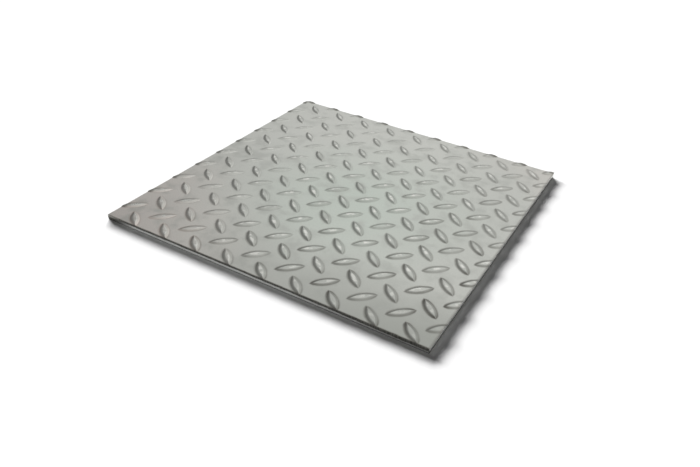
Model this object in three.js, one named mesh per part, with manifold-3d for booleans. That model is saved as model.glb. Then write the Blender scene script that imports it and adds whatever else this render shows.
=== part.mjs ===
// Two-direction checker plate: one piece of hot-rolled steel with almond-shaped tread lugs,
// sheared to size.
//
// Millimetres, +Z up. The plate lies flat with its tread upwards. The origin is at the middle of
// its underside, X runs along the shorter side and Y along the longer one.
//
// The mill roll presses the lugs and the sheet from one piece of steel, so both are one solid
// here. The lugs are first laid over more than the blank, and the shear line then cuts through
// those that it meets.

import * as THREE from 'three';
import { ConvexGeometry } from 'three/addons/geometries/ConvexGeometry.js';
import { mergeVertices } from 'three/addons/utils/BufferGeometryUtils.js';
import Module from 'manifold-3d';

// ---- Driving dimensions ----

// The blank.
const PLATE_X = 380;
const PLATE_Y = 400;
const SHEET_THICKNESS = 6; // steel under the lugs

// One lug, seen from above as a lens of two equal arcs. Its section has a flank, a shoulder and a
// flat crest.
const LUG_LENGTH = 32.5;
const LUG_WIDTH = 11.2;
const LUG_HEIGHT = 1.2;
const SHOULDER_HEIGHT = 0.85;
const SHOULDER_INSET = 2.6; // from the lens at the lug's foot inwards
const CREST_INSET = 4.2;
const LUG_TURN = 45; // degrees between a lug and the plate's sides

// The rolled pattern: rows of lugs of one direction, with the other direction at the middle of
// every four.
const LUG_PITCH = 41;
const FIRST_LUG_X = 29.1; // from the blank's left side to the first lug of the left-leaning rows
const FIRST_LUG_Y = 9.8; // from the blank's front side to the same lug

// The sheared edge, from the tread down: a rounded corner, a straight band and a torn face that
// slopes in.
const ROLLOVER = 0.5;
const CUT_BAND = 1.9;
const TEAR_SLOPE = 0.3; // how far the torn face has drawn in at the underside

// Facets.
const ARC_STEPS = 5;

// ---- Solids ----

const wasm = await Module();
wasm.setup();

// A closed geometry as a solid that can be joined and cut.
function solidOf(geometry) {
  const bare = geometry.clone();
  bare.deleteAttribute('normal');
  bare.deleteAttribute('uv');
  const merged = mergeVertices(bare);
  return new wasm.Manifold(new wasm.Mesh({
    numProp: 3,
    vertProperties: new Float32Array(merged.attributes.position.array),
    triVerts: new Uint32Array(merged.index.array),
  }));
}

// A solid back as a geometry with flat facets.
function geometryOf(solid) {
  const { vertProperties, triVerts } = solid.getMesh();
  const geometry = new THREE.BufferGeometry();
  geometry.setAttribute('position', new THREE.BufferAttribute(vertProperties, 3));
  geometry.setIndex(new THREE.BufferAttribute(triVerts, 1));
  const faceted = geometry.toNonIndexed();
  faceted.computeVertexNormals();
  return faceted;
}

// ---- The lug ----

// Half a chord and its rise give the circle that both sides of the lens are cut from.
const RISE = LUG_WIDTH / 2;
const ARC_RADIUS = ((LUG_LENGTH / 2) ** 2 + RISE ** 2) / (2 * RISE);
const ARC_CENTRE = ARC_RADIUS - RISE; // from the lug's long axis to the circle's centre

// The lens drawn in by an inset: both arcs keep their centres, so the flank is equally wide all
// round.
function lensOutline(inset, z) {
  const radius = ARC_RADIUS - inset;
  const sweep = Math.acos(ARC_CENTRE / radius);
  const up = Math.PI / 2;
  const side = new THREE.ArcCurve(0, -ARC_CENTRE, radius, up - sweep, up + sweep, false).getPoints(ARC_STEPS);
  const both = [...side, ...side.slice(1, -1).map((p) => new THREE.Vector2(p.x, -p.y))];
  return both.map((p) => new THREE.Vector3(p.x, p.y, z));
}

// A lug bulges everywhere, so it is the hull of its outlines. Its root goes into the sheet as deep
// as the lug is high.
function lugGeometry() {
  return new ConvexGeometry([
    ...lensOutline(0, SHEET_THICKNESS - LUG_HEIGHT),
    ...lensOutline(0, SHEET_THICKNESS),
    ...lensOutline(SHOULDER_INSET, SHEET_THICKNESS + SHOULDER_HEIGHT),
    ...lensOutline(CREST_INSET, SHEET_THICKNESS + LUG_HEIGHT),
  ]);
}

// ---- The pattern ----

// The places along one side, each a pitch from the next, whose lugs can reach into the blank.
function placesAlong(side, first) {
  const reach = LUG_LENGTH / 2;
  const before = Math.floor((first + reach) / LUG_PITCH);
  const after = Math.floor((side - first + reach) / LUG_PITCH);
  return Array.from({ length: before + 1 + after }, (_, n) => first + (n - before) * LUG_PITCH - side / 2);
}

// Every lug of one direction, turned by so many degrees from X.
function lugRows(firstX, firstY, turn) {
  const lug = lugGeometry().rotateZ(THREE.MathUtils.degToRad(turn));
  const rows = [];
  for (const x of placesAlong(PLATE_X, firstX)) {
    for (const y of placesAlong(PLATE_Y, firstY)) {
      rows.push(solidOf(lug.clone().translate(x, y, 0)));
    }
  }
  return rows;
}

// ---- The blank ----

// The blank's outline, drawn in on all four sides.
function blankOutline(inset, z) {
  const x = PLATE_X / 2 - inset;
  const y = PLATE_Y / 2 - inset;
  return [[-x, -y], [x, -y], [x, y], [-x, y]].map((corner) => new THREE.Vector3(...corner, z));
}

// The sheet with its four sheared edges.
function sheetGeometry() {
  return new ConvexGeometry([
    ...blankOutline(TEAR_SLOPE, 0),
    ...blankOutline(0, SHEET_THICKNESS - ROLLOVER - CUT_BAND),
    ...blankOutline(0, SHEET_THICKNESS - ROLLOVER),
    ...blankOutline(ROLLOVER, SHEET_THICKNESS),
  ]);
}

// The room inside the shear lines, from the underside to well over the lugs.
function blankRoom() {
  const tall = 2 * (SHEET_THICKNESS + LUG_HEIGHT);
  return new THREE.BoxGeometry(PLATE_X, PLATE_Y, tall).translate(0, 0, tall / 2);
}

function plateGeometry() {
  const lugs = [
    ...lugRows(FIRST_LUG_X, FIRST_LUG_Y, 90 + LUG_TURN),
    ...lugRows(FIRST_LUG_X - LUG_PITCH / 2, FIRST_LUG_Y + LUG_PITCH / 2, LUG_TURN),
  ];
  const tread = lugs.reduce((all, lug) => all.add(lug)).intersect(solidOf(blankRoom()));
  return geometryOf(solidOf(sheetGeometry()).add(tread));
}

// ---- The part ----

const steel = new THREE.MeshStandardMaterial({ color: 0xb9bab4, roughness: 0.5, metalness: 0.9 });

const checkerPlate = new THREE.Mesh(plateGeometry(), steel);
checkerPlate.name = 'checker_plate';

const part = new THREE.Group();
part.add(checkerPlate);

export default part;
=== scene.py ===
# %% [markdown]
# # A checker plate
#
# This lesson dresses one flat piece of steel floor plate. The real thing is a single piece: a mill
# rolls a hot slab between a plain roll and an engraved one, and the steel that is pressed into the
# engraving stands up as almond-shaped lugs in two directions. A shear then cuts the blank from the
# long plate, straight through any lug in its way. The solid model already has the sizes, so the
# lesson starts by loading it, and everything that follows is fitted to what it measures.

import math

import bmesh
import bpy
from mathutils import Matrix, Vector


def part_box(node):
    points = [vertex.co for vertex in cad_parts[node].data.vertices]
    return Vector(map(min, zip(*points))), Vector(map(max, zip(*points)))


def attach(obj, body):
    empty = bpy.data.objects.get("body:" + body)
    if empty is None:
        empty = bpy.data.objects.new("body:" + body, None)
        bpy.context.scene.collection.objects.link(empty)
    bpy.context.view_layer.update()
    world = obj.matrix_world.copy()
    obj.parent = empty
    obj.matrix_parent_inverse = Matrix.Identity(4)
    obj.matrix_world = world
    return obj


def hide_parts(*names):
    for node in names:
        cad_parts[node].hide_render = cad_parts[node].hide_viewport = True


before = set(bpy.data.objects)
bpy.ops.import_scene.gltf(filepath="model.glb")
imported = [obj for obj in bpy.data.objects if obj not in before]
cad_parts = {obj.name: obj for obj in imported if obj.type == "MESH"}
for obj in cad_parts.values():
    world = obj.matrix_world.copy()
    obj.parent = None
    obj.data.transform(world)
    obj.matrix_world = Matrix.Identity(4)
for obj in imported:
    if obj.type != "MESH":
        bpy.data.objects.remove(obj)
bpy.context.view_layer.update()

MM = 0.001  # sizes below are written in millimetres and turned to metres with this
low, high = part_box("checker_plate")
PLATE_X, PLATE_Y, LUG_TOP = ((high - low)[axis] / MM for axis in range(3))
print(f"blank {PLATE_X:.1f} x {PLATE_Y:.1f} mm, {LUG_TOP:.1f} mm high over the lugs")

# %% [markdown]
# ## Small helpers
#
# Colours are easiest to read as the hex codes that a colour picker shows, but Blender's sockets
# want linear light, so one function converts them. A second function adds any node, sets its
# properties and fills or links its inputs, so that a material or a geometry tree below reads as a
# list of what it does. Three kinds of node do most of the work and have long names, so those names
# are kept here: arithmetic with numbers, arithmetic with vectors, and the one that turns a span of
# values into another. That last one always makes a smooth step here, without corners.

# %% Colours and nodes
MATH = "ShaderNodeMath"
VECTORS = "ShaderNodeVectorMath"
SPAN = "ShaderNodeMapRange"
SMOOTH = {"interpolation_type": "SMOOTHSTEP"}


def linear(hex_code):
    """An sRGB hex colour as the linear red, green, blue and alpha of a socket."""
    shares = [int(hex_code[start:start + 2], 16) / 255 for start in (1, 3, 5)]
    return (*(c / 12.92 if c <= 0.04045 else ((c + 0.055) / 1.055) ** 2.4 for c in shares), 1.0)


def add_node(tree, kind, inputs=(), **settings):
    """Adds a node with its settings. Each input gets a value, or a link when it is given a socket.

    The inputs are a list in the node's own order, or a dictionary by name or number.
    """
    made = tree.nodes.new(kind)
    for name, value in settings.items():
        setattr(made, name, value)
    pairs = inputs.items() if isinstance(inputs, dict) else enumerate(inputs)
    for name, value in pairs:
        if isinstance(value, bpy.types.NodeSocket):
            tree.links.new(value, made.inputs[name])
        else:
            made.inputs[name].default_value = value
    return made


print("mid grey #808080 is", round(linear("#808080")[0], 3), "in linear light")

# %% [markdown]
# ## The camera
#
# The plate is seen from a little over thirty degrees above the floor, from its front right, with
# the camera rolled a few degrees, as a hand-held one is. Placing it by its own position and the
# point that it looks at keeps both readable. The roll is one turn about the line of sight.

# %% Camera
SHEET = 6.0  # steel under the lugs
CAMERA_PLACE = Vector((326.87, -646.62, 417.31)) * MM
CAMERA_AIM = Vector((42.38, -80.37, SHEET)) * MM
CAMERA_ROLL = math.radians(4.862)
LENS = 36.02
SENSOR = 36.0
CLIP_NEAR = 0.01  # metres in front of the camera
CLIP_FAR = 50

camera = bpy.data.objects.new("camera", bpy.data.cameras.new("camera"))
camera.data.lens = LENS
camera.data.sensor_width = SENSOR
camera.data.clip_start = CLIP_NEAR
camera.data.clip_end = CLIP_FAR
sight = CAMERA_AIM - CAMERA_PLACE
camera.matrix_world = (
    Matrix.Translation(CAMERA_PLACE)
    @ sight.to_track_quat("-Z", "Y").to_matrix().to_4x4()
    @ Matrix.Rotation(CAMERA_ROLL, 4, "Z")
)
bpy.context.collection.objects.link(camera)
bpy.context.scene.camera = camera
down = math.degrees(math.asin(-sight.normalized().z))
print(f"the camera looks down by {down:.1f} degrees from {sight.length:.2f} m away")

# %% [markdown]
# ## One lug
#
# Seen from above, a lug is a lens: two equal arcs that meet in two tips. In section it has a small
# hollow at its foot, a straight flank, a round shoulder and a flat crest, because that is the shape
# of the cutter that engraved the roll. A lens drawn in by an inset keeps its arcs' centres, so each
# ring of the mesh is the same few lines of arithmetic with another inset. Stacking such rings makes
# a clean, closed shape with few faces, which matters for something that is copied more than two
# hundred times. A sculpted lug would cost more and be less exact.

# %% The lug's outline and section
LUG_LENGTH = 32.5
LUG_WIDTH = 11.2
LUG_HEIGHT = LUG_TOP - SHEET
TIP_RADIUS = 0.5
FOOT_RADIUS = 3.0
SHOULDER_RADIUS = 4.4
FLANK_ANGLE = math.radians(23.4)
ARC_STEPS = 6
TIP_STEPS = 3

HALF_WIDTH = LUG_WIDTH / 2
ARC_RADIUS = ((LUG_LENGTH / 2) ** 2 + HALF_WIDTH**2) / LUG_WIDTH
ARC_CENTRE = ARC_RADIUS - HALF_WIDTH  # from the lug's long axis to the centre of the far arc


def arc(centre, radius, start, end, steps):
    """Points on an arc, both ends among them."""
    turns = [start + (end - start) * step / steps for step in range(steps + 1)]
    return [Vector(centre) + radius * Vector((math.cos(turn), math.sin(turn))) for turn in turns]


def lens_outline(inset):
    """The lens drawn in by an inset, with a round at each tip that gets smaller towards the crest."""
    radius = ARC_RADIUS - inset
    tip_radius = TIP_RADIUS * (1 - inset / HALF_WIDTH)
    lean = math.acos(ARC_CENTRE / (radius - tip_radius))
    tip = ARC_CENTRE * math.tan(lean)
    quarter = math.pi / 2
    half = arc((0, -ARC_CENTRE), radius, quarter - lean, quarter + lean, ARC_STEPS)
    half += arc((-tip, 0), tip_radius, quarter + lean, 3 * quarter - lean, TIP_STEPS)[1:-1]
    return half + [-point for point in half]


def lug_section():
    """Inset and height of each ring, from the foot to the crest's rim."""
    rise = [0, FLANK_ANGLE / 2, FLANK_ANGLE]
    foot = [(FOOT_RADIUS * math.sin(turn), FOOT_RADIUS * (1 - math.cos(turn))) for turn in rise]
    drop = SHOULDER_RADIUS * (1 - math.cos(FLANK_ANGLE))
    run = (LUG_HEIGHT - drop - foot[-1][1]) / math.tan(FLANK_ANGLE)
    start = foot[-1][0] + run + SHOULDER_RADIUS * math.sin(FLANK_ANGLE)
    shoulder = [
        (start - SHOULDER_RADIUS * math.sin(turn), LUG_HEIGHT - SHOULDER_RADIUS * (1 - math.cos(turn)))
        for turn in reversed(rise)
    ]
    return foot + shoulder


SECTION = lug_section()
CREST_INSET = SECTION[-1][0]
print(f"the flank is {CREST_INSET:.2f} mm wide and the crest {LUG_WIDTH - 2 * CREST_INSET:.1f} mm")

# %% [markdown]
# A loft joins such rings with quads and closes the two ends. The lug's lowest ring stands inside
# the sheet, so that the two solids cross cleanly when they are joined.

# %% Build the lug
def loft(name, rings):
    """A closed mesh through rings of equal length, from bottom to top, in millimetres."""
    work = bmesh.new()
    loops = [[work.verts.new(Vector(point) * MM) for point in ring] for ring in rings]
    for lower, upper in zip(loops, loops[1:]):
        for n in range(len(lower)):
            m = (n + 1) % len(lower)
            work.faces.new((lower[n], lower[m], upper[m], upper[n]))
    work.faces.new(reversed(loops[0]))
    work.faces.new(loops[-1])
    mesh = bpy.data.meshes.new(name)
    work.to_mesh(mesh)
    work.free()
    return bpy.data.objects.new(name, mesh)


levels = [(0, SHEET - LUG_HEIGHT)] + [(inset, SHEET + height) for inset, height in SECTION]
lug = loft("lug", [[(*point, z) for point in lens_outline(inset)] for inset, z in levels])
print(f"one lug has {len(lug.data.polygons)} faces")

# %% [markdown]
# ## The sheet and its sheared edges
#
# A shear leaves a cut with three zones. Where the blade enters, the skin is dragged over into a
# small round. Below it the blade wipes a straight, shiny band. Then the steel tears, and the torn
# face slopes in a little towards the underside. Rectangles lofted through that section give all
# four edges at once.

# %% Build the sheet
ROLLOVER = 0.5
CUT_BAND = 1.9
TEAR_SLOPE = 0.3
ROLL_STEPS = 4


def blank_outline(inset, z):
    """The blank's four corners, drawn in by an inset."""
    x, y = PLATE_X / 2 - inset, PLATE_Y / 2 - inset
    return [(-x, -y, z), (x, -y, z), (x, y, z), (-x, y, z)]


roll = arc((ROLLOVER, SHEET - ROLLOVER), ROLLOVER, math.pi, math.pi / 2, ROLL_STEPS)
edge = [(TEAR_SLOPE, 0), (0, SHEET - ROLLOVER - CUT_BAND)] + [(inset, z) for inset, z in roll]
sheet = loft("sheet", [blank_outline(inset, z) for inset, z in edge])
room = loft("room_inside_the_shear", [blank_outline(0, 0), blank_outline(0, 2 * LUG_TOP)])
bpy.context.collection.objects.link(sheet)
print(f"the edge's section has {len(edge)} points")

# %% [markdown]
# ## The rolled pattern
#
# The engraving on the roll repeats, so the lugs of one direction stand on a square grid, and those
# of the other direction stand in the middle of every four. That is a rule, and a rule is what
# Geometry Nodes are good at: one small group makes the rows of one direction, and the main tree
# uses it twice. An array modifier could make the rows too, but it couldn't join them to the sheet
# and cut them at the shear line in the same tree.
#
# Lugs in the outer rows hang over the edge of the blank. The tree joins all lugs to the sheet first
# and then keeps only what lies inside the shear lines, so the outer lugs end in a flat cut, as they
# do when a long plate is cut up.

# %% A group for the rows of one direction
LUG_PITCH = 41.0
FIRST_LUG = Vector((29.1, 9.8))  # a lug of the left-leaning rows, from the blank's front left corner
LUG_TURN = 45.0  # degrees, and the left-leaning rows are turned as far the other way


def new_tree(name, sockets):
    """A geometry tree with named inputs and one geometry output."""
    tree = bpy.data.node_groups.new(name, "GeometryNodeTree")
    for socket, kind in sockets:
        tree.interface.new_socket(socket, in_out="INPUT", socket_type="NodeSocket" + kind)
    tree.interface.new_socket("Geometry", in_out="OUTPUT", socket_type="NodeSocketGeometry")
    return tree


def rows_group():
    """Copies of the lug on a square grid that starts at the first lug's place."""
    tree = new_tree(
        "lug_rows",
        [("Lug", "Geometry"), ("First", "Vector"), ("Pitch", "Float"), ("Columns", "Int"), ("Rows", "Int"),
         ("Turn", "Rotation")],
    )
    given = add_node(tree, "NodeGroupInput").outputs
    spans = [
        add_node(tree, MATH, [given[count], 1.0], operation="SUBTRACT").outputs[0]
        for count in ("Columns", "Rows")
    ]
    sizes = [
        add_node(tree, MATH, [span, given["Pitch"]], operation="MULTIPLY").outputs[0] for span in spans
    ]
    counts = {"Vertices X": given["Columns"], "Vertices Y": given["Rows"]}
    grid = add_node(tree, "GeometryNodeMeshGrid", {"Size X": sizes[0], "Size Y": sizes[1], **counts})
    extent = add_node(tree, "ShaderNodeCombineXYZ", sizes).outputs[0]
    half = (0.5, 0.5, 0.5)  # a grid is built around its middle, half its extent from its first point
    middle = add_node(tree, VECTORS, [extent, half, given["First"]], operation="MULTIPLY_ADD")
    moved = {"Geometry": grid.outputs[0], "Translation": middle.outputs[0]}
    placed = add_node(tree, "GeometryNodeTransform", moved)
    lugs = add_node(
        tree,
        "GeometryNodeInstanceOnPoints",
        {"Points": placed.outputs[0], "Instance": given["Lug"], "Rotation": given["Turn"]},
    )
    add_node(tree, "NodeGroupOutput", {"Geometry": lugs.outputs[0]})
    return tree


# %% [markdown]
# The main tree takes the sheet from the object that it sits on, and the lug and the room inside the
# shear lines from two other objects. Its inputs are the sizes that someone might want to change.
# The two directions differ only in their turn and in where they start: the second one half a pitch
# to the left and half a pitch to the front. Faces that the shear made stand upright, so a test of
# the normal picks them out for a finish of their own.

# %% The main tree
def tread_tree():
    """The sheet with both directions of lugs, cut along the shear lines, with its finishes."""
    tree = new_tree(
        "rolled_tread",
        [("Sheet", "Geometry"), ("Lug", "Object"), ("Shear Room", "Object"), ("First Lug", "Vector"),
         ("Pitch", "Float"), ("Columns", "Int"), ("Rows", "Int"), ("Turn", "Float"), ("Skin", "Material"),
         ("Underside", "Material"), ("Cut Edge", "Material"), ("Upright Below", "Float")],
    )
    given = add_node(tree, "NodeGroupInput").outputs
    lug_shape, shear_room = (
        add_node(tree, "GeometryNodeObjectInfo", {"Object": given[name]}).outputs["Geometry"]
        for name in ("Lug", "Shear Room")
    )
    half_step = add_node(tree, "ShaderNodeCombineXYZ", {"X": -0.5, "Y": -0.5}).outputs[0]
    from_first = [half_step, given["Pitch"], given["First Lug"]]
    second_first = add_node(tree, VECTORS, from_first, operation="MULTIPLY_ADD").outputs[0]
    left_turn = add_node(tree, MATH, [math.pi, given["Turn"]], operation="SUBTRACT").outputs[0]
    rows = rows_group()
    lugs = add_node(tree, "GeometryNodeJoinGeometry")
    for first, turn in ((given["First Lug"], left_turn), (second_first, given["Turn"])):
        about_z = add_node(tree, "ShaderNodeCombineXYZ", {"Z": turn}).outputs[0]
        inputs = {"Lug": lug_shape, "First": first, "Turn": about_z}
        inputs.update({name: given[name] for name in ("Pitch", "Columns", "Rows")})
        group = add_node(tree, "GeometryNodeGroup", inputs, node_tree=rows)
        tree.links.new(group.outputs[0], lugs.inputs[0])
    solid = {"solver": "MANIFOLD"}
    parts = {"Mesh 2": given["Sheet"]}
    joined = add_node(tree, "GeometryNodeMeshBoolean", parts, operation="UNION", **solid)
    tree.links.new(lugs.outputs[0], joined.inputs["Mesh 2"])
    inside = {"Mesh 2": joined.outputs[0]}
    trimmed = add_node(tree, "GeometryNodeMeshBoolean", inside, operation="INTERSECT", **solid)
    tree.links.new(shear_room, trimmed.inputs["Mesh 2"])
    real = add_node(tree, "GeometryNodeRealizeInstances", {"Geometry": trimmed.outputs[0]}).outputs[0]
    normal = add_node(tree, "GeometryNodeInputNormal").outputs[0]
    lift = add_node(tree, "ShaderNodeSeparateXYZ", [normal]).outputs["Z"]
    up_or_down = add_node(tree, MATH, [lift], operation="ABSOLUTE").outputs[0]
    bound = [up_or_down, given["Upright Below"]]
    upright = add_node(tree, "FunctionNodeCompare", bound, operation="LESS_THAN").outputs[0]
    below = add_node(tree, "FunctionNodeCompare", [lift, 0.0], operation="LESS_THAN").outputs[0]
    for finish, selection in (("Skin", True), ("Underside", below), ("Cut Edge", upright)):
        painted = {"Geometry": real, "Selection": selection, "Material": given[finish]}
        real = add_node(tree, "GeometryNodeSetMaterial", painted).outputs[0]
    add_node(tree, "NodeGroupOutput", {"Geometry": real})
    return tree


# %% [markdown]
# ## Three surfaces of one steel
#
# The plate is plain low-carbon steel all through, so every material below is a full metal, and they
# differ only by what was done to the surface. That matters to the eye: bare steel has no colour of
# its own to speak of, it shows a blurred picture of the room, and its finish decides how blurred
# and how bright that picture is. Real sizes drive each pattern, and all of them read the place in
# the object, in millimetres, so nothing slides or stretches.
#
# These helpers take up what the three materials share. A pattern is a noise whose size is the size
# of its features in millimetres. Coats lie over a colour as paint does, each with a share from 0,
# for none of it, to 1.

# %% Helpers for the materials
def start_material(name):
    """A new material, its empty tree, and a socket with the place in the object in millimetres."""
    material = bpy.data.materials.new(name)
    material.use_nodes = True
    tree = material.node_tree
    tree.nodes.clear()
    in_millimetres = {0: add_node(tree, "ShaderNodeTexCoord").outputs["Object"], "Scale": 1 / MM}
    place = add_node(tree, VECTORS, in_millimetres, operation="SCALE").outputs[0]
    return material, tree, place


def pattern(tree, place, size, detail=2.0, longer=(1, 1, 1), shift=0.0):
    """Soft patches about as large as size, and longer along an axis where asked.

    The shift moves them, so that two patterns on one surface don't draw the same patches.
    """
    scale = [1 / (size * part) for part in longer]
    mapping = {"Vector": place, "Location": (shift, shift, shift), "Scale": scale}
    scaled = add_node(tree, "ShaderNodeMapping", mapping).outputs[0]
    settings = {"Vector": scaled, "Scale": 1.0, "Detail": detail}
    return add_node(tree, "ShaderNodeTexNoise", settings).outputs[0]


def coated(tree, colour, *coats):
    """A colour with coats over it, each given as its share and its own colour."""
    for share, coat in coats:
        # A Mix node has four inputs called A and four called B. These are the ones for colours.
        mixed = {"Factor": share, 6: colour, 7: coat}
        colour = add_node(tree, "ShaderNodeMix", mixed, data_type="RGBA").outputs[2]
    return colour


def close_metal(tree, colour, roughness, height):
    """The metal shader with a colour, a roughness and a height in millimetres, joined to the output."""
    relief = add_node(tree, "ShaderNodeBump", {"Height": height, "Distance": MM}).outputs[0]
    metal = {"Base Color": colour, "Metallic": 1.0, "Roughness": roughness, "Normal": relief}
    shader = add_node(tree, "ShaderNodeBsdfPrincipled", metal)
    add_node(tree, "ShaderNodeOutputMaterial", {"Surface": shader.outputs[0]})


# %% [markdown]
# ### Where the lugs are
#
# Dirt keeps to the foot of a lug and handling polishes its crest, so the tread's finish has to know
# how far a point is from a foot. The lattice gives that exactly: fold the place into one cell of
# the grid, turn it to the lug's own axes, and the distance to the nearer of its two arcs is one
# square root. It is below zero on the lug. Further down, a pair of such distances says between
# which of them a mark grows or fades. A painted mask could do the same, but it would have to be
# painted again for every other size.

# %% Distance from the lugs' feet
def lug_distance(tree, place, first, turn):
    """How far the nearest lug of one direction is: outwards from its foot, and along from its middle."""
    half = Vector([LUG_PITCH / 2] * 3)
    from_first = add_node(tree, VECTORS, [place, first], operation="SUBTRACT").outputs[0]
    folded = add_node(tree, VECTORS, [from_first, half, -half], operation="WRAP").outputs[0]
    about_z = {"Vector": folded, "Angle": -turn}
    turned = add_node(tree, "ShaderNodeVectorRotate", about_z, rotation_type="Z_AXIS").outputs[0]
    axes = add_node(tree, "ShaderNodeSeparateXYZ", [turned]).outputs
    aside = add_node(tree, MATH, [axes["Y"]], operation="ABSOLUTE").outputs[0]
    across = add_node(tree, MATH, [aside, ARC_CENTRE], operation="ADD").outputs[0]
    square = add_node(tree, MATH, [across, across], operation="MULTIPLY").outputs[0]
    squares = add_node(tree, MATH, [axes["X"], axes["X"], square], operation="MULTIPLY_ADD").outputs[0]
    from_centre = add_node(tree, MATH, [squares], operation="SQRT").outputs[0]
    foot = add_node(tree, MATH, [from_centre, ARC_RADIUS], operation="SUBTRACT").outputs[0]
    along = add_node(tree, MATH, [axes["X"]], operation="ABSOLUTE").outputs[0]
    return foot, along


def nearest_lug(tree, place):
    """The same two distances, for the nearer of the two directions."""
    first = Vector((-PLATE_X / 2, -PLATE_Y / 2, 0)) + FIRST_LUG.to_3d()
    step = Vector((-LUG_PITCH / 2, LUG_PITCH / 2, 0))  # either way folds to the same place
    turn = math.radians(LUG_TURN)
    left, left_along = lug_distance(tree, place, first, math.pi - turn)
    right, right_along = lug_distance(tree, place, first + step, turn)
    left_nearer = add_node(tree, MATH, [left, right], operation="LESS_THAN").outputs[0]
    choice = {"Factor": left_nearer, "A": right_along, "B": left_along}
    along = add_node(tree, "ShaderNodeMix", choice, data_type="FLOAT").outputs[0]
    foot = add_node(tree, MATH, [left, right], operation="MINIMUM").outputs[0]
    return foot, along


print("a lug's arcs have a radius of", round(ARC_RADIUS, 2), "mm")

# %% [markdown]
# ### The tread
#
# The upper skin is **hot-rolled mild steel, pickled and oiled**. Rolling leaves it blue-black with
# scale, and a bath of acid takes that off. What is left is bare steel, finely etched all over: pale
# grey, with a satin sheen that blurs the room into soft tones, and no colour except the faint green
# and pink of the oil film that keeps rust away. The film is thickest where it ran together, near
# the middle, and two corners have dried to a warmer tone. Their borders wander, as a drying film's
# do, because a noise is added to the distance that draws them.

# %% Steel under its film of oil
SKIN_GREEN = "#C6CEC5"
SKIN_GREY = "#CFD0CA"
SKIN_PINK = "#E0D9D3"
SKIN_MOTTLE = "#B1B3AD"
OIL_MIDDLE = (20, -20, 0)
OIL_REACH = (40, 240)  # the film thins out between these distances from its middle
LEFT_CORNER = (-80, -320)  # X + Y where the warm tone begins and is full, at the front left corner
RIGHT_CORNER = (320, 440)  # and at the back right corner
RIGHT_WARMTH = 0.6
FILM_SIZE = 60
OIL_WANDER = 80
CORNER_WANDER = 120
CLOUD_SIZE = 18
CLOUD_SPAN = (0.45, 0.75)
CLOUD_SHARE = 0.6
GRAIN_SIZE = 1.2  # real etching is finer than this, but would not show from here
GRAIN_SHARE = 0.35
NOISE_SPAN = (0.3, 0.7)  # a noise hardly ever leaves this range


def oiled_skin(tree, place, axes, grain):
    """The colour of the clean skin: the oil film's tints, soft clouds and the etched grain."""
    film = pattern(tree, place, FILM_SIZE, detail=3.0)
    apart = add_node(tree, VECTORS, [place, OIL_MIDDLE], operation="DISTANCE").outputs["Value"]
    apart = add_node(tree, MATH, [film, OIL_WANDER, apart], operation="MULTIPLY_ADD").outputs[0]
    thin = add_node(tree, SPAN, [apart, *OIL_REACH], **SMOOTH).outputs[0]
    diagonal = add_node(tree, MATH, [axes["X"], axes["Y"]], operation="ADD").outputs[0]
    diagonal = add_node(tree, MATH, [film, CORNER_WANDER, diagonal], operation="MULTIPLY_ADD").outputs[0]
    left = add_node(tree, SPAN, [diagonal, *LEFT_CORNER], **SMOOTH).outputs[0]
    right = add_node(tree, SPAN, [diagonal, *RIGHT_CORNER, 0.0, RIGHT_WARMTH], **SMOOTH).outputs[0]
    warmth = add_node(tree, MATH, [left, right], operation="MAXIMUM").outputs[0]
    clouds = pattern(tree, place, CLOUD_SIZE, detail=4.0, shift=7.0)
    mottle = add_node(tree, SPAN, [clouds, *CLOUD_SPAN, 0.0, CLOUD_SHARE], **SMOOTH).outputs[0]
    etched = add_node(tree, SPAN, [grain, *NOISE_SPAN, 0.0, GRAIN_SHARE], **SMOOTH).outputs[0]
    return coated(
        tree,
        linear(SKIN_GREEN),
        (thin, linear(SKIN_GREY)),
        (warmth, linear(SKIN_PINK)),
        (mottle, linear(SKIN_MOTTLE)),
        (etched, linear(SKIN_MOTTLE)),
    )


print("the oil film fades out by", OIL_REACH[1], "mm from its middle")

# %% [markdown]
# More marks follow, and each is a share between 0 and 1 that lays one more colour over the skin. The first
# is a darker grey. It lies on the right margin, and on the front one, where it grows towards the right.
# The same grey is painted shade on the lugs' flanks, shoulders and crests, more towards the back and less
# in a crest's middle, where the plates of a stack touch. There the crests were polished instead, in spots,
# and the polish is painted lighter, partly as a painted highlight. The darker grey lies over the polish,
# so the polish shows least at the margins.

# %% Darker margins, painted shade and polished crests
SKIN_DARKER = "#A1A39D"
SKIN_POLISH_HIGHLIGHT = "#E6E6E0"
FRONT_MARGIN = (-188, -50)  # Y where the darker margin is full and where it ends
SIDE_MARGIN = (40, 210)  # X where the darker margin begins and is full
SIDE_SHARE = 0.22
MARGIN_SIZE = 40
FRONT_WANDER = 40
SIDE_WANDER = 60
CREST_INSIDE = (-3.5, -0.5)  # on the way out from a crest, a margin's darker grey grows to all of it here
CREST_KEEPS = 0.85  # the share of it that lies on a crest
CREST_SHARES = (0.3, 0.5)  # how much painted shade the crests get at the front and at the back
CREST_RING = (-1.0, -2.5)
CREST_MIDDLE = (-4.0, -5.4)
MIDDLE_KEEPS = 0.3
WORN_INSIDE = (-2.8, -4.4)
WORN_SIZE = 6
WORN_SPAN = (0.48, 0.60)
WORN_SHARE = 0.95


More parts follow.
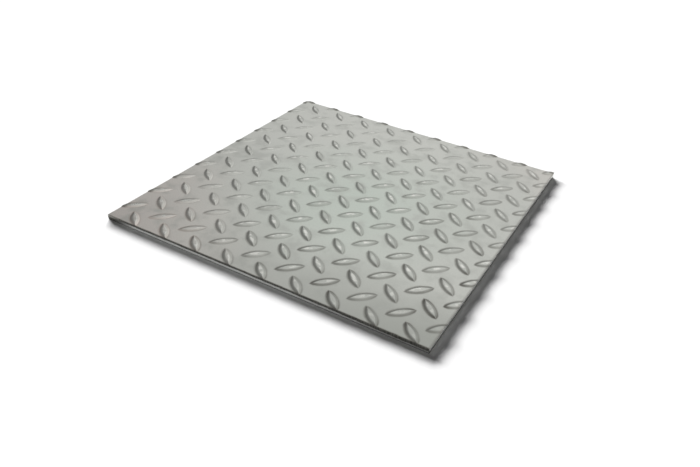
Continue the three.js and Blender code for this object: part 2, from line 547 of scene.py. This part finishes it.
def darker_margins_and_crest_shade(tree, place, axes, foot):
    """How much darker the skin is towards the front and right edges, with painted shade on the lugs'
    flanks, shoulders and crests.
    """
    ragged = pattern(tree, place, MARGIN_SIZE, detail=3.0, shift=3.0)
    ahead = add_node(tree, MATH, [ragged, FRONT_WANDER, axes["Y"]], operation="MULTIPLY_ADD").outputs[0]
    front = add_node(tree, SPAN, [ahead, *FRONT_MARGIN, 1.0, 0.0], **SMOOTH).outputs[0]
    to_right = add_node(tree, SPAN, [axes["X"], -PLATE_X / 2, PLATE_X / 2], **SMOOTH).outputs[0]
    front = add_node(tree, MATH, [front, to_right], operation="MULTIPLY").outputs[0]
    aside = add_node(tree, MATH, [ragged, SIDE_WANDER, axes["X"]], operation="MULTIPLY_ADD").outputs[0]
    side = add_node(tree, SPAN, [aside, *SIDE_MARGIN, 0.0, SIDE_SHARE], **SMOOTH).outputs[0]
    margins = add_node(tree, MATH, [front, side], operation="MAXIMUM").outputs[0]
    kept = add_node(tree, SPAN, [foot, *CREST_INSIDE, CREST_KEEPS, 1.0], **SMOOTH).outputs[0]
    margins = add_node(tree, MATH, [margins, kept], operation="MULTIPLY").outputs[0]
    # Painted shade: the lugs' flanks, shoulders and crests get the darker grey, more towards the back and
    # less in a crest's middle.
    crest = add_node(tree, SPAN, [foot, *CREST_RING], **SMOOTH).outputs[0]
    front_to_back = [axes["Y"], -PLATE_Y / 2, PLATE_Y / 2, *CREST_SHARES]
    to_back = add_node(tree, SPAN, front_to_back, **SMOOTH).outputs[0]
    crest = add_node(tree, MATH, [crest, to_back], operation="MULTIPLY").outputs[0]
    middle = add_node(tree, SPAN, [foot, *CREST_MIDDLE, 1.0, MIDDLE_KEEPS], **SMOOTH).outputs[0]
    crest = add_node(tree, MATH, [crest, middle], operation="MULTIPLY").outputs[0]
    return add_node(tree, MATH, [margins, crest], operation="MAXIMUM").outputs[0]


def polished_crest_highlights(tree, place, foot):
    """How much the middles of the crests are polished, in spots where the stack touched them, and painted
    lighter there as a painted highlight.
    """
    touched = pattern(tree, place, WORN_SIZE, detail=1.0, shift=41.0)
    middle = add_node(tree, SPAN, [foot, *WORN_INSIDE], **SMOOTH).outputs[0]
    # Partly polish, partly painted highlight: these spots are painted lighter.
    spots = add_node(tree, SPAN, [touched, *WORN_SPAN, 0.0, WORN_SHARE], **SMOOTH).outputs[0]
    return add_node(tree, MATH, [middle, spots], operation="MULTIPLY").outputs[0]


print("a polished spot is about", WORN_SIZE, "mm long")

# %% [markdown]
# The second mark is partly dirt and partly painted shade. A grey-brown residue of the bath dried at the
# feet of the lugs, and the same colour is painted shade in the hollow at each foot and on the flanks, most
# of all towards the front right, and a little more at the tips. No two lugs got the same amount, so a
# noise as large as a lug's surroundings varies it. The flanks that look to the back right, where the light
# falls, get less of it. It fades outwards from the foot, and sooner past a tip, or the lugs would look
# longer than they are. At the front left corner it has begun to rust.
#
# The last coat is painted shade: a thin dark line on the front rim, a fainter one on the right rim, and
# the lugs that the shear cut at the back and left edges are painted dark.

# %% Residue and painted shade
SKIN_RESIDUE_AND_SHADE = "#6E6C66"
SKIN_RUSTED = "#825D47"
RUSTED_CORNER = (-220, -350)  # X + Y where the residue begins to rust and where it has rusted
SKIN_EDGE_SHADE = "#6E6C66"
RESIDUE_INSIDE = (-3.35, -1.55)
RESIDUE_OUTSIDE = (0.02, 2.42)
RESIDUE_WANDER = 1.2
RESIDUE_WAY = (1.2, -1.0, 0.0)
RESIDUE_SPAN = (-300, 440)  # along that way, from the back left to the front right
RESIDUE_SHARES = (0.03, 0.66)
LIT_FLANK_SIDE = (1.0, 1.0, 0.0)  # the way that the flanks with less painted shade look: to the back right, where the light falls
LIT_FLANK_TILT = (0.05, 0.35)  # how far a flank is turned that way
LIT_FLANK_SHARE = 0.5
PATCH_SIZE = 9
LOT_SIZE = 32
LOT_SHARES = (0.75, 1.3)
TIP_REACH = (5, 14)  # millimetres along from a lug's middle
TIP_SHARES = (0.85, 1.15)
PAST_TIP = (12.5, 17.5)  # the same, for where the residue ends sooner
PAST_TIP_SHORTER = 1.4
FRONT_RIM = (0.3, 1.0)  # millimetres in from the front edge
FRONT_RIM_SHARE = 0.6
RIGHT_RIM = (0.0, 3.0)  # millimetres in from the right edge
RIGHT_RIM_SHARE = 0.4
EDGE_SHADE_REACH = (2.5, 6.5)  # millimetres in from the back or the left edge
EDGE_SHADE_SHARE = 0.7
EDGE_SHADE_FOOT = (0.6, -0.6)


def residue_and_foot_shade(tree, place, foot, along):
    """How much dirt and painted shade lies at the lugs' feet and on their flanks."""
    patches = pattern(tree, place, PATCH_SIZE, detail=3.0, shift=19.0)
    outwards = add_node(tree, MATH, [patches, RESIDUE_WANDER, foot], operation="MULTIPLY_ADD").outputs[0]
    past_tip = add_node(tree, SPAN, [along, *PAST_TIP, 0.0, PAST_TIP_SHORTER], **SMOOTH).outputs[0]
    outwards = add_node(tree, MATH, [outwards, past_tip], operation="ADD").outputs[0]
    outside = add_node(tree, SPAN, [outwards, *RESIDUE_OUTSIDE, 1.0, 0.0], **SMOOTH).outputs[0]
    inside = add_node(tree, SPAN, [foot, *RESIDUE_INSIDE], **SMOOTH).outputs[0]
    # Painted shade and dirt: the hollow at each foot and the flanks get darker.
    ring = add_node(tree, MATH, [outside, inside], operation="MULTIPLY").outputs[0]
    towards_front_right = add_node(tree, VECTORS, [place, RESIDUE_WAY], operation="DOT_PRODUCT").outputs["Value"]
    amount = add_node(tree, SPAN, [towards_front_right, *RESIDUE_SPAN, *RESIDUE_SHARES], **SMOOTH).outputs[0]
    normal = add_node(tree, "ShaderNodeTexCoord").outputs["Normal"]
    tilt = add_node(tree, VECTORS, [normal, LIT_FLANK_SIDE], operation="DOT_PRODUCT").outputs["Value"]
    lot = pattern(tree, place, LOT_SIZE, detail=1.0, shift=31.0)
    # More at the tips, less on the flanks that face the back right where the light falls, and varied from
    # lug to lug.
    for measure, reach, shares in (
        (along, TIP_REACH, TIP_SHARES),
        (tilt, LIT_FLANK_TILT, (1.0, LIT_FLANK_SHARE)),
        (lot, NOISE_SPAN, LOT_SHARES),
    ):
        share = add_node(tree, SPAN, [measure, *reach, *shares], **SMOOTH).outputs[0]
        amount = add_node(tree, MATH, [amount, share], operation="MULTIPLY").outputs[0]
    return add_node(tree, MATH, [ring, amount], operation="MULTIPLY").outputs[0]


def residue_colour(tree, axes):
    """The grey brown of dirt and painted shade at the lugs' feet, rusting towards the front left corner.
    """
    diagonal = add_node(tree, MATH, [axes["X"], axes["Y"]], operation="ADD").outputs[0]
    rusted = add_node(tree, SPAN, [diagonal, *RUSTED_CORNER], **SMOOTH).outputs[0]
    return coated(tree, linear(SKIN_RESIDUE_AND_SHADE), (rusted, linear(SKIN_RUSTED)))


def painted_edge_shade(tree, axes, foot):
    """How much painted shade lies on the front and right rims, and on the cut lugs at the back and left
    edges.
    """
    # Painted shade: a dark line on the front and right rims, and dark cut lugs at the back and left edges.
    to_front = add_node(tree, MATH, [PLATE_Y / 2, axes["Y"]], operation="ADD").outputs[0]
    to_right = add_node(tree, MATH, [PLATE_X / 2, axes["X"]], operation="SUBTRACT").outputs[0]
    front_rim = add_node(tree, SPAN, [to_front, *FRONT_RIM, FRONT_RIM_SHARE, 0.0], **SMOOTH).outputs[0]
    right_rim = add_node(tree, SPAN, [to_right, *RIGHT_RIM, RIGHT_RIM_SHARE, 0.0], **SMOOTH).outputs[0]
    rims = add_node(tree, MATH, [front_rim, right_rim], operation="MAXIMUM").outputs[0]
    to_back = add_node(tree, MATH, [PLATE_Y / 2, axes["Y"]], operation="SUBTRACT").outputs[0]
    to_left = add_node(tree, MATH, [PLATE_X / 2, axes["X"]], operation="ADD").outputs[0]
    nearer = add_node(tree, MATH, [to_back, to_left], operation="MINIMUM").outputs[0]
    painted_dark = add_node(tree, SPAN, [nearer, *EDGE_SHADE_REACH, EDGE_SHADE_SHARE, 0.0], **SMOOTH).outputs[0]
    on_lugs = add_node(tree, SPAN, [foot, *EDGE_SHADE_FOOT], **SMOOTH).outputs[0]
    lugs = add_node(tree, MATH, [painted_dark, on_lugs], operation="MULTIPLY").outputs[0]
    return add_node(tree, MATH, [rims, lugs], operation="MAXIMUM").outputs[0]


print("residue covers up to", round(RESIDUE_SHARES[1] * TIP_SHARES[1] * LOT_SHARES[1], 2), "of a tip")

# %% [markdown]
# The finish brings them together. Residue is rougher than steel and polish is smoother. The last
# detail is the one that makes rolled plate look rolled: very shallow waves, a fraction of a
# millimetre over a hand's width, that no mill quite gets out and that the sheen shows up.

# %% Pickled tread
WAVE_SIZE = 70
WAVE_HEIGHT = 0.5
GRAIN_HEIGHT = 0.02
GRAIN_SPAN = (0.2, 0.8)
SKIN_ROUGHNESS = (0.33, 0.39)
DARK_ROUGHER = 0.3
WORN_ROUGHER = -0.1  # below zero, because polish is smoother


def pickled_tread():
    """The pale, etched upper skin, with dirt and painted shade at the lugs' feet, and polish with a
    painted highlight on their crests.
    """
    material, tree, place = start_material("pickled_hot_rolled_steel")
    axes = add_node(tree, "ShaderNodeSeparateXYZ", [place]).outputs
    grain = pattern(tree, place, GRAIN_SIZE, detail=3.0, shift=11.0)
    foot, along = nearest_lug(tree, place)
    polish_and_highlight = polished_crest_highlights(tree, place, foot)
    residue_and_shade = residue_and_foot_shade(tree, place, foot, along)
    painted_dark = painted_edge_shade(tree, axes, foot)
    # The coats: polish with a painted highlight, a darker grey that is painted shade on the lugs, dirt
    # with painted shade at the feet, and painted shade on the rims and cut lugs.
    colour = coated(
        tree,
        oiled_skin(tree, place, axes, grain),
        (polish_and_highlight, linear(SKIN_POLISH_HIGHLIGHT)),
        (darker_margins_and_crest_shade(tree, place, axes, foot), linear(SKIN_DARKER)),
        (residue_and_shade, residue_colour(tree, axes)),
        (painted_dark, linear(SKIN_EDGE_SHADE)),
    )
    roughness = add_node(tree, SPAN, [grain, *GRAIN_SPAN, *SKIN_ROUGHNESS], **SMOOTH).outputs[0]
    dark = add_node(tree, MATH, [residue_and_shade, painted_dark], operation="MAXIMUM").outputs[0]
    for share, rougher in ((dark, DARK_ROUGHER), (polish_and_highlight, WORN_ROUGHER)):
        roughness = add_node(tree, MATH, [share, rougher, roughness], operation="MULTIPLY_ADD").outputs[0]
    waves = pattern(tree, place, WAVE_SIZE, detail=1.0, shift=23.0)
    waves = add_node(tree, MATH, [waves, WAVE_HEIGHT], operation="MULTIPLY").outputs[0]
    height = add_node(tree, MATH, [grain, GRAIN_HEIGHT, waves], operation="MULTIPLY_ADD").outputs[0]
    close_metal(tree, colour, roughness, height)
    return material


pickled_steel = pickled_tread()
print(pickled_steel.name, "has", len(pickled_steel.node_tree.nodes), "nodes")

# %% [markdown]
# ### The underside
#
# The lower skin went through the same mill and the same bath, but past a plain roll: flat, a little
# darker, and with faint lines along the way it was rolled. Nobody sees it while the plate lies
# down, yet a reusable part gets turned over sooner or later.

# %% Plain mill side
MILL_LIGHT = "#B4B5B0"
MILL_DARK = "#9C9D9A"
MILL_LINE = "#85868A"
LINE_WIDTH = 1.5
LINE_STRETCH = (1, 60, 1)  # the plate was rolled along Y
LINE_SPAN = (0.45, 0.8)
LINE_SHARE = 0.4
MILL_CLOUDS = 30
MILL_ROUGHNESS = (0.45, 0.55)


def mill_side():
    """The flat lower skin, with faint marks of the roll along the plate."""
    material, tree, place = start_material("pickled_plain_roll_steel")
    clouds = pattern(tree, place, MILL_CLOUDS, detail=4.0)
    clouds = add_node(tree, SPAN, [clouds, *NOISE_SPAN], **SMOOTH).outputs[0]
    lines = pattern(tree, place, LINE_WIDTH, longer=LINE_STRETCH)
    dark_lines = add_node(tree, SPAN, [lines, *LINE_SPAN, 0.0, LINE_SHARE], **SMOOTH).outputs[0]
    colour = coated(tree, linear(MILL_LIGHT), (clouds, linear(MILL_DARK)), (dark_lines, linear(MILL_LINE)))
    roughness = add_node(tree, SPAN, [lines, *GRAIN_SPAN, *MILL_ROUGHNESS], **SMOOTH).outputs[0]
    height = add_node(tree, MATH, [lines, GRAIN_HEIGHT], operation="MULTIPLY").outputs[0]
    close_metal(tree, colour, roughness, height)
    return material


plain_steel = mill_side()
print(plain_steel.name, "has", len(plain_steel.node_tree.nodes), "nodes")

# %% [markdown]
# ### The cut
#
# The four edges are **guillotine-sheared mild steel**. The blade wipes the upper part of the cut to a
# dark, smooth band with upright streaks. Below it the metal tears, and the torn grain scatters light like
# frost, so it looks much paler, down to a dark line of painted shade along the bottom. Towards the right
# the wiped band is painted deeper and the torn band darker, both as painted shade, and the border between
# the two wanders a little. At the left the torn metal is darker all the way up, on the whole left cut and
# at the left ends of the front and back ones. The right cut is painted dark all over, as painted shade,
# and paler towards its top, as painted light. Only its colour differs: its shape is the other cuts'.

# %% Sheared edge
WIPED_DARK = "#6C6B67"
WIPED_LIGHT = "#8D8C86"
TORN_DARK = "#E4E5E2"
TORN_LIGHT = "#FAFBF9"
CUT_DARK = "#504F4A"
WIPED_DEPTHS = (2.6, 4.0)  # below the skin, in the middle of the front cut and at its right end, where the deeper band is painted shade
BORDER_SIZE = 7
BORDER_WANDER = 1.6
BORDER_BLUR = 0.4
TORN_FADE = 0.5  # how much painted shade darkens the torn band at the right end
BOTTOM_SHADE_ZONE = (0.0, 1.2)  # heights between which the painted shade at the bottom ends
LEFT_ZONE = (-184, -150)  # X where the darker colour at the left begins to fade, and ends
LEFT_SHARE = 0.95
RIGHT_CUT = (1.0, 0.4)  # millimetres in from the right edge, where that cut's own look sets in
RIGHT_DEEPER = 4.1  # millimetres more there, so that the dark wiped colour reaches down to the bottom as painted shade
RIGHT_LIGHT_ZONE = (1.0, 5.5)  # heights between which painted light turns the right cut from dark to pale
STREAK_WIDTH = 0.7  # real streaks and torn grain are finer, but would not show from here
STREAK_STRETCH = (1, 1, 30)
TORN_GRAIN = 0.8
STREAK_SPAN = (0.35, 0.7)  # of the patterns that draw the streaks and the torn grain
WIPED_ROUGHNESS = 0.38
TORN_ROUGHNESS = 0.7
TORN_HEIGHT = 0.15


def wiped_share(tree, place, axes, at_right):
    """Where the cut is dark and wiped: above a wandering border, painted lower towards the right and over
    the whole right cut as painted shade.
    """
    depth = add_node(tree, SPAN, [axes["X"], 0, PLATE_X / 2, *WIPED_DEPTHS], **SMOOTH).outputs[0]
    depth = add_node(tree, MATH, [at_right, RIGHT_DEEPER, depth], operation="MULTIPLY_ADD").outputs[0]
    wander = pattern(tree, place, BORDER_SIZE, detail=3.0)
    top = SHEET - BORDER_WANDER / 2
    border = add_node(tree, MATH, [wander, BORDER_WANDER, top], operation="MULTIPLY_ADD").outputs[0]
    above = add_node(tree, MATH, [axes["Z"], border], operation="SUBTRACT").outputs[0]
    above = add_node(tree, MATH, [above, depth], operation="ADD").outputs[0]
    return add_node(tree, SPAN, [above, 0.0, BORDER_BLUR], **SMOOTH).outputs[0]


def torn_colour(tree, axes, grain):
    """The frosty torn metal, with painted shade towards the right and at the bottom, and darker at the
    left.
    """
    darker = add_node(tree, SPAN, [grain, *STREAK_SPAN], **SMOOTH).outputs[0]
    # Painted shade: the torn band darkens towards the right end and along the bottom.
    fade = add_node(tree, SPAN, [axes["X"], 0, PLATE_X / 2, 0.0, TORN_FADE], **SMOOTH).outputs[0]
    bottom = add_node(tree, SPAN, [axes["Z"], *BOTTOM_SHADE_ZONE, 1.0, 0.0], **SMOOTH).outputs[0]
    left = add_node(tree, SPAN, [axes["X"], *LEFT_ZONE, LEFT_SHARE, 0.0], **SMOOTH).outputs[0]
    painted_dark = add_node(tree, MATH, [bottom, left], operation="MAXIMUM").outputs[0]
    return coated(
        tree,
        linear(TORN_LIGHT),
        (darker, linear(TORN_DARK)),
        (fade, linear(WIPED_DARK)),
        (painted_dark, linear(CUT_DARK)),
    )


def sheared_edge():
    """The cut faces: a wiped band over a torn one, and on the right painted shade with painted light
    towards the top.
    """
    material, tree, place = start_material("guillotine_sheared_steel")
    axes = add_node(tree, "ShaderNodeSeparateXYZ", [place]).outputs
    begins, full = (PLATE_X / 2 - inwards for inwards in RIGHT_CUT)
    at_right = add_node(tree, SPAN, [axes["X"], begins, full], **SMOOTH).outputs[0]
    wiped = wiped_share(tree, place, axes, at_right)
    grain = pattern(tree, place, TORN_GRAIN, detail=3.0, shift=5.0)
    streaks = pattern(tree, place, STREAK_WIDTH, detail=1.0, longer=STREAK_STRETCH, shift=9.0)
    streaks = add_node(tree, SPAN, [streaks, *STREAK_SPAN], **SMOOTH).outputs[0]
    wiped_metal = coated(tree, linear(WIPED_DARK), (streaks, linear(WIPED_LIGHT)))
    torn_metal = torn_colour(tree, axes, grain)
    # Painted light: the right cut, painted dark as in shade, gets paler towards its top.
    upper = add_node(tree, SPAN, [axes["Z"], *RIGHT_LIGHT_ZONE], **SMOOTH).outputs[0]
    upper = add_node(tree, MATH, [at_right, upper], operation="MULTIPLY").outputs[0]
    colour = coated(tree, torn_metal, (wiped, wiped_metal), (upper, linear(TORN_LIGHT)))
    roughness, height = (
        add_node(tree, SPAN, [wiped, 0, 1, torn, smooth], **SMOOTH).outputs[0]
        for torn, smooth in ((TORN_ROUGHNESS, WIPED_ROUGHNESS), (TORN_HEIGHT, 0.0))
    )
    height = add_node(tree, MATH, [grain, height], operation="MULTIPLY").outputs[0]
    close_metal(tree, colour, roughness, height)
    return material


cut_steel = sheared_edge()
print(cut_steel.name, "has", len(cut_steel.node_tree.nodes), "nodes")

# %% [markdown]
# ## From rule to mesh
#
# A modifier's inputs are stored under the sockets' identifiers, so a small function looks each name
# up. The rows have to start where a lug can first reach into the blank, and to end where one last
# can. The second direction starts half a pitch earlier, so it needs one column and one row more, and
# both directions get them. What then stands outside the shear lines is cut away with the rest.
#
# The evaluated result is then copied to a plain mesh, which no longer needs the tree, the lug or
# the sheet. Lug tips that only just cross the shear line leave points a few microns apart, and
# those are merged. Last come the normals: edges above a modest angle stay sharp, and the others are
# shaded smooth, with the large faces leading, so that the flat steel between the lugs stays flat to
# the eye.

# %% Run the tree
MERGE_DISTANCE = 0.005
SHARP_ANGLE = math.radians(40)
UPRIGHT_BELOW = 0.4  # the upward part of a cut face's normal is less than this
SPARE_ROWS = 1  # for the direction that starts half a pitch earlier


def fill_inputs(modifier, values):
    """Sets a geometry modifier's inputs, each by the identifier of its socket."""
    for item in modifier.node_group.interface.items_tree:
        if item.in_out == "INPUT" and item.name in values:
            modifier[item.identifier] = values[item.name]


def start_and_count(side, first):
    """Where the rows start along one side, and how many of them cover it in both directions."""
    reach = LUG_LENGTH / 2
    before = math.floor((first + reach) / LUG_PITCH)
    after = math.floor((side - first + reach) / LUG_PITCH)
    return first - before * LUG_PITCH - side / 2, before + 1 + after + SPARE_ROWS


start_x, columns = start_and_count(PLATE_X, FIRST_LUG.x)
start_y, rows = start_and_count(PLATE_Y, FIRST_LUG.y)
rolling = sheet.modifiers.new("rolled_tread", "NODES")
rolling.node_group = tread_tree()
fill_inputs(
    rolling,
    {
        "Lug": lug,
        "Shear Room": room,
        "First Lug": (start_x * MM, start_y * MM, 0.0),
        "Pitch": LUG_PITCH * MM,
        "Columns": columns,
        "Rows": rows,
        "Turn": math.radians(LUG_TURN),
        "Skin": pickled_steel,
        "Underside": plain_steel,
        "Cut Edge": cut_steel,
        "Upright Below": UPRIGHT_BELOW,
    },
)
print(f"{columns} columns and {rows} rows of lugs in each direction")


# %% Make it a plain mesh
def plain_copy(source, name):
    """The evaluated shape of an object, modifiers and all, as a plain mesh."""
    mesh = bpy.data.meshes.new_from_object(source.evaluated_get(bpy.context.evaluated_depsgraph_get()))
    mesh.name = name
    return mesh


plate = bpy.data.objects.new("rolled_plate", plain_copy(sheet, "rolled_plate"))
bpy.context.collection.objects.link(plate)
for helper in (sheet, lug, room):
    bpy.data.objects.remove(helper)

work = bmesh.new()
work.from_mesh(plate.data)
bmesh.ops.remove_doubles(work, verts=work.verts, dist=MERGE_DISTANCE * MM)
open_edges = sum(1 for edge in work.edges if not edge.is_manifold)
work.to_mesh(plate.data)
work.free()
print(f"the plate has {len(plate.data.polygons)} faces and {open_edges} open edges")

# %% Smooth what is round and keep what is sharp
plate.data.set_sharp_from_angle(angle=SHARP_ANGLE)
weighting = plate.modifiers.new("weighted_normals", "WEIGHTED_NORMAL")
weighting.mode = "FACE_AREA"
weighting.keep_sharp = True
smoothed = plain_copy(plate, "rolled_plate")
plate.modifiers.clear()
plate.data = smoothed
for number, finish in enumerate(plate.data.materials):
    faces = [face for face in plate.data.polygons if face.material_index == number]
    print(finish.name, "is on", len(faces), "faces")

# %% [markdown]
# The plate stands in for the solid model's one node and is made of that node's one kind of steel.

# %% Hand the plate over
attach(plate, "root")
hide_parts("checker_plate")

# %% [markdown]
# ## The floor
#
# The plate lies on a plain, pale studio floor. A matt surface shows nothing but the light that
# reaches it, and that is all it is here for: to carry the plate's shadow and to fade to white
# around it. The floor is a thick slab whose top is at height zero, so the plate rests on it and
# doesn't hover.

# %% Floor
FLOOR_SIDE = 6000
FLOOR_THICKNESS = 20
FLOOR_WHITE = 0.92  # the light that it sends back, as good white paint does

reach = FLOOR_SIDE / 2
floor = loft(
    "floor",
    [
        [(-reach, -reach, z), (reach, -reach, z), (reach, reach, z), (-reach, reach, z)]
        for z in (-FLOOR_THICKNESS, 0)
    ],
)
bpy.context.collection.objects.link(floor)
paint = bpy.data.materials.new("matt_white_floor")
paint.use_nodes = True
paint.node_tree.nodes.clear()
coat = add_node(paint.node_tree, "ShaderNodeBsdfDiffuse", {"Color": (*[FLOOR_WHITE] * 3, 1.0)})
add_node(paint.node_tree, "ShaderNodeOutputMaterial", {"Surface": coat.outputs[0]})
floor.data.materials.append(paint)
print(f"the floor is {FLOOR_SIDE / 1000:.0f} m wide")

# %% [markdown]
# ## The light
#
# A metal plate is lit by what it mirrors, so the light is built in two halves that hardly touch.
# The first half is the room that the steel mirrors: bright above and dimmer towards the horizon,
# with two grey flags, the cloths on stands that photographers use. They stand where only the tilted
# flanks of the lugs look, so the crests and the flat steel stay bright and every lug gets a dark
# side. Turning up a lamp instead would brighten it all and show nothing.
#
# The room is a world shader. It answers each kind of ray in its own way: a mirrored ray sees the
# room with its flags, the camera and anything transparent sees plain white, and a ray that lights
# the matt floor gets only a weak, even fill. A flag is a smooth step on the angle between a ray and
# the flag's middle.

# %% The room that the steel mirrors
def towards(azimuth, elevation):
    """The direction at an azimuth, from +X towards +Y, and an elevation, both in degrees."""
    turn, rise = math.radians(azimuth), math.radians(elevation)
    return Vector((math.cos(turn) * math.cos(rise), math.sin(turn) * math.cos(rise), math.sin(rise)))


FLAGS = [
    # azimuth, elevation, cosines of the angles where it begins and is full, and the light it leaves
    (197.6, 3, 0.22, 0.52, 0.34),
    (224, 31, 0.39, 0.66, 0.89),
]
HORIZON_LIGHT = 0.30  # how bright the room is at the horizon, when it is 1 above
HORIZON_REACH = 0.46  # the sine of the elevation from which it is 1
FILL_LIGHT = 0.075  # what the room adds on matt surfaces


def studio():
    """White to the eye and through glass, and shaded by flags in what metal mirrors."""
    world = bpy.data.worlds.new("studio")
    world.use_nodes = True
    tree = world.node_tree
    tree.nodes.clear()
    paths = add_node(tree, "ShaderNodeLightPath").outputs
    way = add_node(tree, "ShaderNodeTexCoord").outputs["Generated"]
    height = add_node(tree, "ShaderNodeSeparateXYZ", [way]).outputs["Z"]
    upwards = [height, 0.0, HORIZON_REACH, HORIZON_LIGHT, 1.0]
    mirrored = add_node(tree, SPAN, upwards, **SMOOTH).outputs[0]
    for azimuth, elevation, begins, full, left in FLAGS:
        middle = towards(azimuth, elevation)
        facing = add_node(tree, VECTORS, [way, middle], operation="DOT_PRODUCT").outputs["Value"]
        flag = add_node(tree, SPAN, [facing, begins, full, 1.0, left], **SMOOTH).outputs[0]
        mirrored = add_node(tree, MATH, [mirrored, flag], operation="MULTIPLY").outputs[0]
    choice = {"Factor": paths["Is Glossy Ray"], "A": FILL_LIGHT, "B": mirrored}
    shone = add_node(tree, "ShaderNodeMix", choice, data_type="FLOAT").outputs[0]
    looks = [paths["Is Camera Ray"], paths["Is Transmission Ray"]]
    seen = add_node(tree, MATH, looks, operation="MAXIMUM").outputs[0]
    strength = add_node(tree, MATH, [seen, shone], operation="MAXIMUM").outputs[0]
    sky = add_node(tree, "ShaderNodeBackground", {"Color": (1.0, 1.0, 1.0, 1.0), "Strength": strength})
    add_node(tree, "ShaderNodeOutputWorld", {"Surface": sky.outputs[0]})
    world.cycles.sampling_method = "NONE"
    return world


bpy.context.scene.world = studio()
print("the room has", len(FLAGS), "flags")

# %% [markdown]
# The second half is the key light, which only has to light the floor and throw the plate's shadow
# on it. It comes from the back left and low, so the shadow shows along the front and the right
# edge. A shadow that is dark at the plate and soft at its rim needs a wide lamp. Three suns side by
# side make a wide, low lamp out of round ones, and none of them shows up in the steel.

# %% Key light
KEY_ENERGY = 11.2
KEY_ANGLE = 14  # degrees across each sun
KEY_ELEVATION = 17.8
KEY_AZIMUTH = 142
KEY_SPREAD = 16  # degrees from one sun to the next
KEY_STEPS = (-1, 0, 1)

for step in KEY_STEPS:
    sun = bpy.data.objects.new("key", bpy.data.lights.new("key", "SUN"))
    sun.data.energy = KEY_ENERGY / len(KEY_STEPS)
    sun.data.angle = math.radians(KEY_ANGLE)
    direction = towards(KEY_AZIMUTH + step * KEY_SPREAD, KEY_ELEVATION)
    sun.rotation_euler = direction.to_track_quat("Z", "Y").to_euler()
    sun.visible_glossy = False
    bpy.context.collection.objects.link(sun)
print("the key light is", KEY_ANGLE + (len(KEY_STEPS) - 1) * KEY_SPREAD, "degrees wide")

# %% [markdown]
# ## Closing
#
# The Standard view transform shows colours as the materials and the light make them.

# %% Colours and the end
bpy.context.scene.view_settings.view_transform = "Standard"
